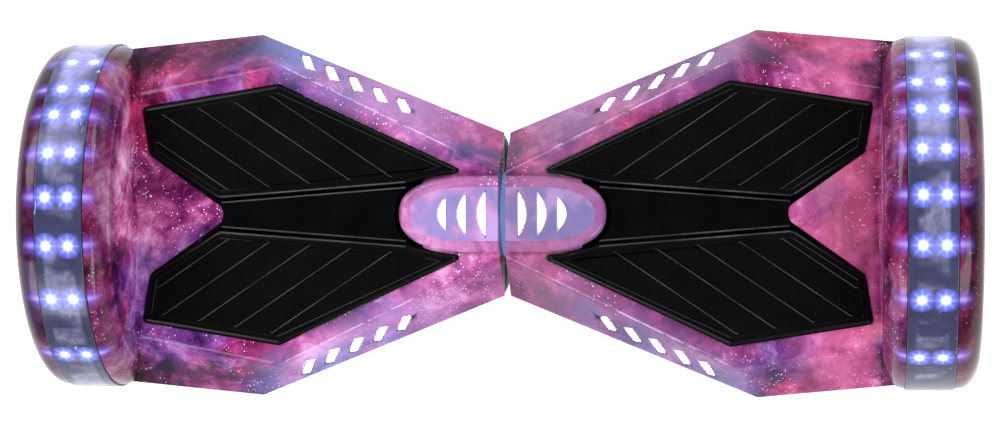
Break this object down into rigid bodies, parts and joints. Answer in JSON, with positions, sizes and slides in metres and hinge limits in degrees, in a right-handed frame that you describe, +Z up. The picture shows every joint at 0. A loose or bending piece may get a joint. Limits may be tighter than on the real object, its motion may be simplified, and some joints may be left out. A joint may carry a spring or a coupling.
{
  "type": "self balancing hoverboard",
  "caption": "Two-wheeled self-balancing board: hourglass deck halves that twist about a central shaft, sprung footpads, lit fender arches and windows, and hub-motor wheels.",
  "frame": {"origin": "on the floor under the middle of the board, where the two halves meet", "axes": "+X along the board towards the right half, +Y to the rear (the charging socket's side), +Z up; the rider faces -Y"},
  "size_m": [0.66, 0.2588, 0.2179],
  "materials": {
    "printed_shell": "gloss",
    "belly_shell": "satin",
    "cast_frame": "satin",
    "channel_gloss": "gloss",
    "footpad": "satin",
    "fender_lens": "gloss",
    "window_light": "satin",
    "circuit": "satin",
    "clamp": "satin",
    "steel": "satin",
    "windings": "satin",
    "tyre": "matte",
    "wheel_alloy": "satin",
    "bronze": "satin",
    "seal_rubber": "matte",
    "black_plastic": "satin",
    "battery_wrap": "satin"
  },
  "bodies": {
    "left_half": {"left_upper_cover": "printed_shell", "left_lower_cover": "belly_shell", "left_frame": "cast_frame", "left_footpad_tray": "channel_gloss", "left_fender_light": "fender_lens", "left_rear_light": "window_light", "left_front_light": "window_light", "left_pod_light": "window_light", "left_sensor_board": "circuit", "left_axle_clamp": "clamp", "left_front_clamp_bolt": "steel", "left_rear_clamp_bolt": "steel", "left_axle": "steel", "left_stator": "steel", "left_windings": "windings", "centre_shaft": "steel", "retaining_ring": "steel", "centre_seal": "seal_rubber", "centre_harness": "seal_rubber", "control_board": "circuit", "speaker": "black_plastic"},
    "right_half": {"right_upper_cover": "printed_shell", "right_lower_cover": "belly_shell", "right_frame": "cast_frame", "right_footpad_tray": "channel_gloss", "right_fender_light": "fender_lens", "right_rear_light": "window_light", "right_front_light": "window_light", "right_pod_light": "window_light", "right_sensor_board": "circuit", "right_axle_clamp": "clamp", "right_front_clamp_bolt": "steel", "right_rear_clamp_bolt": "steel", "right_axle": "steel", "right_stator": "steel", "right_windings": "windings", "inner_bush": "bronze", "outer_bush": "bronze", "battery_pack": "battery_wrap", "charging_socket": "black_plastic", "power_switch": "black_plastic"},
    "left_wheel": {"left_tyre": "tyre", "left_wheel_rim": "wheel_alloy", "left_motor_cover": "wheel_alloy", "left_magnet_ring": "steel", "left_inner_bearing": "steel", "left_outer_bearing": "steel"},
    "left_front_pad": {"left_front_footpad": "footpad"},
    "left_rear_pad": {"left_rear_footpad": "footpad"},
    "right_wheel": {"right_tyre": "tyre", "right_wheel_rim": "wheel_alloy", "right_motor_cover": "wheel_alloy", "right_magnet_ring": "steel", "right_inner_bearing": "steel", "right_outer_bearing": "steel"},
    "right_front_pad": {"right_front_footpad": "footpad"},
    "right_rear_pad": {"right_rear_footpad": "footpad"},
    "charging_cap": {"charging_cap": "seal_rubber"},
    "power_button": {"power_button": "black_plastic"}
  },
  "joints": [
    {"name": "board_twist", "type": "hinge", "parent": "left_half", "child": "right_half", "pos_m": [0, 0, 0.1015], "axis": [1, 0, 0], "range_deg": [-12, 12]},
    {"name": "left_wheel_spin", "type": "hinge", "parent": "left_half", "child": "left_wheel", "pos_m": [-0.2955, 0, 0.1015], "axis": [1, 0, 0], "continuous": true},
    {"name": "right_wheel_spin", "type": "hinge", "parent": "right_half", "child": "right_wheel", "pos_m": [0.2955, 0, 0.1015], "axis": [1, 0, 0], "continuous": true},
    {"name": "left_front_pad_press", "type": "slide", "parent": "left_half", "child": "left_front_pad", "axis": [0, 0, -1], "range_m": [0, 0.0015], "stiffness_N_per_m": 4000, "springref_m": -0.001},
    {"name": "left_rear_pad_press", "type": "slide", "parent": "left_half", "child": "left_rear_pad", "axis": [0, 0, -1], "range_m": [0, 0.0015], "stiffness_N_per_m": 4000, "springref_m": -0.001},
    {"name": "right_front_pad_press", "type": "slide", "parent": "right_half", "child": "right_front_pad", "axis": [0, 0, -1], "range_m": [0, 0.0015], "stiffness_N_per_m": 4000, "springref_m": -0.001},
    {"name": "right_rear_pad_press", "type": "slide", "parent": "right_half", "child": "right_rear_pad", "axis": [0, 0, -1], "range_m": [0, 0.0015], "stiffness_N_per_m": 4000, "springref_m": -0.001},
    {"name": "power_button_press", "type": "slide", "parent": "right_half", "child": "power_button", "axis": [0, -1, 0], "range_m": [0, 0.0015], "stiffness_N_per_m": 600, "springref_m": -0.0006},
    {"name": "charging_cap_hinge", "type": "hinge", "parent": "right_half", "child": "charging_cap", "pos_m": [0.218, 0.1247, 0.0748], "axis": [-1, 0, 0], "range_deg": [0, 120]}
  ]
}
